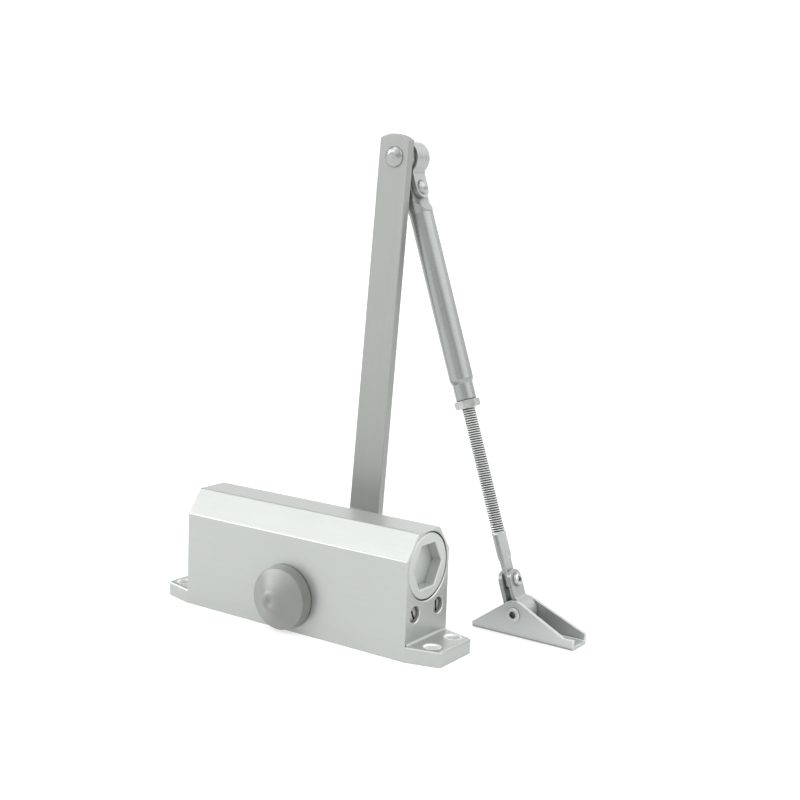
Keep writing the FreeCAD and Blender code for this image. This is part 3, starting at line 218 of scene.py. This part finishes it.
BODY = (0.424, 0.442, 0.427)
ARM = (0.288, 0.296, 0.288)
TUBE = (0.312, 0.322, 0.318)
STRAP = (0.362, 0.373, 0.368)
SHOE = (0.478, 0.497, 0.489)

# body: silver paint, bare metal where the holes were machined after painting
t, tone, rough, relief, co = paint("body_silver", BODY, 0.75, 0.36, wear_and_highlight=0.8, shade_gap=0.0012)
x, y, z = t.split(t.co)
ax = t.math("SUBTRACT", t.math("ABSOLUTE", x), 0.082)
ay = t.math("SUBTRACT", t.math("ABSOLUTE", y), 0.0095)
hole = t.math("SQRT", t.math("ADD", t.math("MULTIPLY", ax, ax), t.math("MULTIPLY", ay, ay)))
bare = t.span(hole, 0.00462, 0.00474, 1.0, 0.0)
vy = t.math("SUBTRACT", t.math("ABSOLUTE", y), 0.0106)
vz = t.math("SUBTRACT", z, 0.02215)
valve = t.math("SQRT", t.math("ADD", t.math("MULTIPLY", vy, vy), t.math("MULTIPLY", vz, vz)))
valve = t.math("MULTIPLY", t.span(valve, 0.00424, 0.00432, 1.0, 0.0), t.math("GREATER_THAN", x, 0.05))
bare = t.math("MAXIMUM", bare, valve)
cut_marks = t.noise(1.0, t.scaled((60.0, 60.0, 2400.0)), detail=1.0)
bare_tone = t.mix(cut_marks, (0.78, 0.79, 0.78), (0.84, 0.85, 0.84))
# the valve recess walls are painted darker than the other bare metal, as painted shade in the recess
bare_tone = t.mix(valve, bare_tone, (0.46, 0.47, 0.46))
tone = t.mix(bare, tone, bare_tone)
relief = t.math("MULTIPLY", relief, t.math("SUBTRACT", 1.0, bare))
t.set(Metallic=t.span(bare, 0.0, 1.0, 0.75, 0.45))
finish_paint(t, tone, rough, relief, 0.10).done("closer_body")

# end plugs: same paint over a turned face
t, tone, rough, relief, co = paint("plug_silver", tint(BODY, 1.12), 0.50, 0.40, wear_and_highlight=0.8, shade_gap=0.0012)
x, y, z = t.split(t.co)
dz = t.math("SUBTRACT", z, BORE_Z)
rad = t.math("SQRT", t.math("ADD", t.math("MULTIPLY", y, y), t.math("MULTIPLY", dz, dz)))
rings = t.math("SINE", t.math("MULTIPLY", rad, 2 * math.pi / 0.00045))
relief = t.math("ADD", relief, t.math("MULTIPLY", rings, 0.25))
finish_paint(t, tone, rough, relief, 0.12).done("front_end_plug", "rear_end_plug")

# main arm: flat drawn bar, streaks along the bar
LEAN = math.radians(3.33)
ARM_UP = Vector((math.sin(LEAN), 0.0, math.cos(LEAN)))
ARM_SIDE = Vector((math.cos(LEAN), 0.0, -math.sin(LEAN)))
t, tone, rough, relief, co = paint("arm_silver", ARM, 0.45, 0.44, lambda t: t.axes(SPINDLE, ARM_UP, ARM_SIDE, Y),
                                   streak=(14.0, 900.0, 900.0), contrast=0.07, wear_and_highlight=0.8)
finish_paint(t, tone, rough, relief, 0.10).done("main_arm")

# forearm tube and straps
t, tone, rough, relief, co = paint("tube_silver", TUBE, 0.76, 0.30, lambda t: t.axes(FORE_AXIS, D, N, Y),
                                   streak=(18.0, 1100.0, 1100.0), contrast=0.07, wear_and_highlight=0.45)
finish_paint(t, tone, rough, relief, 0.10).done("forearm_tube")
t, tone, rough, relief, co = paint("strap_silver", STRAP, 0.50, 0.36, lambda t: t.axes(FORE_AXIS, D, N, Y),
                                   streak=(40.0, 1100.0, 300.0), contrast=0.07, wear_and_highlight=0.8)
finish_paint(t, tone, rough, relief, 0.10).done("elbow_knuckle", "shoe_swivel")
t, tone, rough, relief, co = paint("shoe_silver", SHOE, 0.62, 0.36, streak=(26.0, 1100.0, 1100.0), contrast=0.06, wear_and_highlight=0.9)
finish_paint(t, tone, rough, relief, 0.10).done("shoe_bracket", "shoe_rivet")


def metal(name, base, roughness, metallic=1.0, scale=1.0, contrast=0.10, shade_gap=0.0025, streak=None, dull=None, shade_span=(0.10, 0.70, 0.75)):
    """Plated or bare steel: fine crystals, soft patches, small scratches and painted shade darkening the gaps."""
    t = Tree(name, metallic, roughness)
    fine = t.noise(3600.0 * scale, detail=2.0)
    patch = t.noise(160.0 * scale, detail=3.0)
    scratch = t.noise(1.0, t.scaled(streak or (700.0, 4200.0, 1500.0)), detail=3.0, rough=0.65)
    v = t.math("ADD", t.math("MULTIPLY", fine, 0.35), t.math("MULTIPLY", patch, 0.4))
    v = t.math("ADD", v, t.math("MULTIPLY", scratch, 0.25))
    tone = t.mix(t.span(v, 0.32, 0.68), tint(base, 1 - contrast), tint(base, 1 + contrast))
    # painted shade: the colour darkens towards the dull colour in narrow gaps where shade falls
    tone = t.mix(t.span(t.hollow(shade_gap), shade_span[0], shade_span[1], shade_span[2], 0.0), tone, dull or tint(base, 0.10))
    rough = t.math("ADD", t.span(patch, 0.3, 0.7, -0.05, 0.06), t.span(scratch, 0.3, 0.75, roughness - 0.03, roughness + 0.07))
    t.set(Base_Color=tone, Roughness=rough, Normal=t.bump(t.math("ADD", fine, scratch), 0.08, 0.00005))
    return t


metal("bright_zinc", (0.48, 0.49, 0.48), 0.33).done("arm_washer", "arm_screw", "elbow_washer", "lock_nut", "rod_screw",
                                                    "shoe_sleeve")
metal("rivet_zinc", (0.35, 0.36, 0.355), 0.28, metallic=0.92).done("elbow_stud", "elbow_pin")
# valve screws: painted shade, the slots and the gap round each head are painted near black where shade falls
metal("valve_zinc", (0.52, 0.53, 0.52), 0.34, shade_gap=0.003, dull=(0.003, 0.003, 0.003), shade_span=(0.70, 0.97, 1.0)).done("sweep_valve_screw", "latch_valve_screw")
metal("turned_gland", (0.60, 0.61, 0.61), 0.34).done("spindle_gland_nuts")
metal("ground_steel", (0.52, 0.52, 0.53), 0.28).done("pinion_shaft", "check_ball", "check_valve_clip")
metal("oiled_spring", (0.20, 0.19, 0.19), 0.36, metallic=0.9).done("closer_spring")
metal("iron_piston", (0.33, 0.33, 0.34), 0.40, metallic=0.9).done("piston")
metal("sinter_bronze", (0.62, 0.44, 0.22), 0.38).done("spindle_bushes")
rod_steel = metal("zinc_rod", (0.435, 0.444, 0.440), 0.36, shade_gap=0.0012)
s_, n_, y_ = rod_steel.split(rod_steel.axes(FORE_AXIS, D, N, Y))
rad = rod_steel.math("SQRT", rod_steel.math("ADD", rod_steel.math("MULTIPLY", n_, n_), rod_steel.math("MULTIPLY", y_, y_)))
cut = rod_steel.math("LESS_THAN", s_, 0.2042)
tone = rod_steel.bsdf.inputs["Base Color"].links[0].from_socket
tone = rod_steel.mix(cut, tone, (0.80, 0.81, 0.80))
# rolled thread: bright crests, and the roots painted near black as painted shade in the thread grooves
root = rod_steel.math("MULTIPLY", rod_steel.span(rad, 0.00334, 0.00368, 1.0, 0.0), cut)
rod_steel.set(Base_Color=rod_steel.mix(root, tone, (0.07, 0.07, 0.07)))
rod_steel.done("adjuster_rod")

# spindle cap: moulded grey plastic with a faint turned grain
t = Tree("cap_moulding", 0.0, 0.40)
t.bsdf.inputs["Specular IOR Level"].default_value = 0.9
rel = t.vec("SUBTRACT", t.co, tuple(SPINDLE))
cx, cy, cz = t.split(rel)
rad = t.math("SQRT", t.math("ADD", t.math("MULTIPLY", cx, cx), t.math("MULTIPLY", cz, cz)))
ang = t.math("ARCTAN2", cz, cx)
swirl = t.add("ShaderNodeCombineXYZ")
t.put(t.math("MULTIPLY", rad, 2600.0), swirl.inputs[0])
t.put(t.math("MULTIPLY", ang, 1.2), swirl.inputs[1])
t.put(t.math("MULTIPLY", cy, 900.0), swirl.inputs[2])
rings = t.noise(1.0, swirl.outputs[0], detail=3.0)
pores = t.noise(1900.0, detail=2.0)
cloud = t.noise(70.0, detail=3.0)
CAP = (0.184, 0.189, 0.176)
v = t.math("ADD", t.math("MULTIPLY", rings, 0.35), t.math("ADD", t.math("MULTIPLY", pores, 0.25), t.math("MULTIPLY", cloud, 0.40)))
tone = t.mix(t.span(v, 0.32, 0.68), tint(CAP, 0.91), tint(CAP, 1.09))
# painted shade: darker in the dimple and the narrow gaps where shade falls
tone = t.mix(t.span(t.hollow(0.003), 0.15, 0.75, 0.6, 0.0), tone, tint(CAP, 0.2))
# painted highlight: lighter rings along the cap's edges
tone = t.mix(t.span(t.edge(0.0009), 0.02, 0.16, 0.0, 0.75), tone, tint(CAP, 2.3))
# the dimple in the middle is left duller
dull = t.math("MAXIMUM", t.span(rings, 0.3, 0.7, 0.36, 0.46), t.span(rad, 0.0030, 0.0055, 0.60, 0.30))
t.set(Base_Color=tone, Roughness=dull,
      Normal=t.bump(t.math("ADD", rings, t.math("MULTIPLY", pores, 0.5)), 0.10, 0.00006))
t.done("spindle_cap")

# seals: black rubber
t = Tree("rubber_seal", 0.0, 0.6)
bloom = t.noise(420.0, detail=3.0)
t.set(Base_Color=t.mix(bloom, (0.012, 0.012, 0.012), (0.035, 0.035, 0.034)), Roughness=t.span(bloom, 0.3, 0.7, 0.5, 0.68),
      Normal=t.bump(t.noise(2500.0), 0.15, 0.00005))
t.done("end_plug_seals", "spindle_seals", "valve_seals")

# --------------------------------------------------------------- threaded rod


def rod_point(s, r, a):
    return FORE_AXIS + D * (s * MM) + (N * math.cos(a) + Y * math.sin(a)) * (r * MM)


def threaded_rod():
    """The rod with a real screw thread up to its shoulder and the pressed end beyond it."""
    pitch, crest, root, around, per = 1.25, 4.0, 3.3, 44, 8
    s0, s1 = 84.2, 204.9
    steps = int(round((s1 - s0) / pitch * per))
    bm = bmesh.new()
    rings = []

    def profile(f):
        f = f % 1.0
        if f < 0.12:
            return crest
        if f < 0.44:
            return crest + (root - crest) * (f - 0.12) / 0.32
        if f < 0.68:
            return root
        return root + (crest - root) * (f - 0.68) / 0.32

    for i in range(steps + 1):
        s = s0 + (s1 - s0) * i / steps
        lead = min(1.0, (s - s0) / 1.3)
        run = min(1.0, (s1 - s) / 1.6)
        ring = []
        for k in range(around):
            a = 2 * math.pi * k / around
            r = profile((s - s0) / pitch - k / around)
            r = r + (crest - 0.02 - r) * (1 - run) ** 2
            r = min(r, 3.2 + (crest - 3.2) * lead)
            ring.append(bm.verts.new(rod_point(s, r, a)))
        rings.append(ring)
    for p, q in zip(rings, rings[1:]):
        for k in range(around):
            j = (k + 1) % around
            bm.faces.new((p[k], p[j], q[j], q[k]))
    bm.faces.new(list(reversed(rings[0])))
    bm.faces.new(rings[-1])
    bmesh.ops.recalc_face_normals(bm, faces=bm.faces[:])
    for f in bm.faces:
        f.smooth = len(f.verts) == 4
    # the pressed end is the CAD rod beyond the thread's shoulder
    end = bmesh.new()
    end.from_mesh(nodes["adjuster_rod"].data)
    bmesh.ops.remove_doubles(end, verts=end.verts[:], dist=1e-6)
    cut = FORE_AXIS + D * (s1 * MM)
    geom = end.verts[:] + end.edges[:] + end.faces[:]
    bmesh.ops.bisect_plane(end, geom=geom, plane_co=cut, plane_no=D, clear_inner=True)
    open_edges = [e for e in end.edges if e.is_boundary]
    bmesh.ops.holes_fill(end, edges=open_edges, sides=0)
    bmesh.ops.recalc_face_normals(end, faces=end.faces[:])
    tmp = bpy.data.meshes.new("rod_end_tmp")
    end.to_mesh(tmp)
    end.free()
    bm.from_mesh(tmp)
    bpy.data.meshes.remove(tmp)
    me = bpy.data.meshes.new("threaded_rod")
    bm.to_mesh(me)
    bm.free()
    o = bpy.data.objects.new("threaded_rod", me)
    scene.collection.objects.link(o)
    me.materials.append(rod_steel.mat)
    me.set_sharp_from_angle(angle=math.radians(30))
    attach(o, "rod")
    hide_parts("adjuster_rod")
    return o


threaded_rod()

# ------------------------------------------------------------ floor and lights
bm = bmesh.new()
bmesh.ops.create_circle(bm, cap_ends=True, radius=40.0, segments=96)
me = bpy.data.meshes.new("studio_floor")
bm.to_mesh(me)
bm.free()
floor = bpy.data.objects.new("studio_floor", me)
scene.collection.objects.link(floor)
floor.location.z = -0.00005
t = Tree("floor_white", 0.0, 0.9)
t.bsdf.inputs["Specular IOR Level"].default_value = 0.0
t.bsdf.inputs["Base Color"].default_value = (0.50, 0.50, 0.50, 1.0)
t.bsdf.inputs["Emission Color"].default_value = (1.0, 1.0, 1.0, 1.0)
t.bsdf.inputs["Emission Strength"].default_value = 0.60
floor.data.materials.append(t.mat)

world = bpy.data.worlds.new("studio_world")
scene.world = world
world.use_nodes = True
wn, wl = world.node_tree.nodes, world.node_tree.links
bg = next(n for n in wn if n.type == "BACKGROUND")
tc = wn.new("ShaderNodeTexCoord")


def wmap(v, a, b, lo, hi):
    n = wn.new("ShaderNodeMapRange")
    n.interpolation_type = "SMOOTHSTEP"
    for k, x in (("From Min", a), ("From Max", b), ("To Min", lo), ("To Max", hi)):
        n.inputs[k].default_value = x
    wl.new(v, n.inputs["Value"])
    return n.outputs["Result"]


def wmath(op, a, b):
    n = wn.new("ShaderNodeMath")
    n.operation = op
    for i, v in enumerate((a, b)):
        if isinstance(v, float):
            n.inputs[i].default_value = v
        else:
            wl.new(v, n.inputs[i])
    return n.outputs[0]


# soft light from all round: a white backdrop, a large panel high on the right and a smaller one on the left
def glow(azimuth, elevation, half, strength):
    a, e = math.radians(azimuth), math.radians(elevation)
    d = wn.new("ShaderNodeVectorMath")
    d.operation = "DOT_PRODUCT"
    wl.new(tc.outputs["Generated"], d.inputs[0])
    d.inputs[1].default_value = (math.cos(a) * math.cos(e), math.sin(a) * math.cos(e), math.sin(e))
    return wmap(d.outputs["Value"], math.cos(math.radians(half * 1.35)), math.cos(math.radians(half * 0.35)), 0.0, strength)


ring_low = (0.38, 0.33, 0.64, 1.06, 0.36, 0.78, 0.46, 0.34)
ring_high = (1.79, 1.06, 0.30, 0.10, 0.10, 0.35)
total = glow(0, 90, 35, 0.08)
for k, level in enumerate(ring_low):
    total = wmath("ADD", total, glow(45 * k, 10, 30, level))
for k, level in enumerate(ring_high):
    total = wmath("ADD", total, glow(60 * k, 45, 35, level))
wl.new(total, bg.inputs["Strength"])
bg.inputs["Color"].default_value = (1.0, 1.0, 1.0, 1.0)


def sun(name, direction, strength, angle):
    d = bpy.data.lights.new(name, "SUN")
    d.energy = strength
    d.angle = math.radians(angle)
    o = bpy.data.objects.new(name, d)
    scene.collection.objects.link(o)
    o.rotation_mode = "QUATERNION"
    o.rotation_quaternion = Vector(direction).to_track_quat("Z", "Y")
    return o


sun("left_key", (-0.82, -0.48, 0.31), 1.08, 26)
sun("top_left", (-0.35, -0.35, 0.87), 0.54, 34)
sun("front_light", (-0.20, -0.72, 0.66), 0.45, 50)
sun("front_left", (-0.55, -0.70, 0.45), 0.55, 22)
sun("overhead", (-0.10, -0.10, 0.99), 0.12, 40)

# ---------------------------------------------------------------------- camera
cam_data = bpy.data.cameras.new("camera")
cam = bpy.data.objects.new("camera", cam_data)
scene.collection.objects.link(cam)
az, el, roll = math.radians(33.9406), math.radians(8.9775), math.radians(2.2305)
back = Vector((math.sin(az) * math.cos(el), -math.cos(az) * math.cos(el), math.sin(el)))
right = Vector((math.cos(az), math.sin(az), 0.0))
up = back.cross(right)
r2 = math.cos(roll) * right + math.sin(roll) * up
u2 = -math.sin(roll) * right + math.cos(roll) * up
m = Matrix((r2, u2, back)).transposed().to_4x4()
m.translation = Vector((0.409230, -0.532300, 0.226974))
cam.matrix_world = m
cam_data.sensor_width = 36.0
cam_data.lens = 59.0533
cam_data.clip_start = 0.01
cam_data.clip_end = 200.0
scene.camera = cam

scene.view_settings.view_transform = "Standard"
scene.view_settings.look = "None"
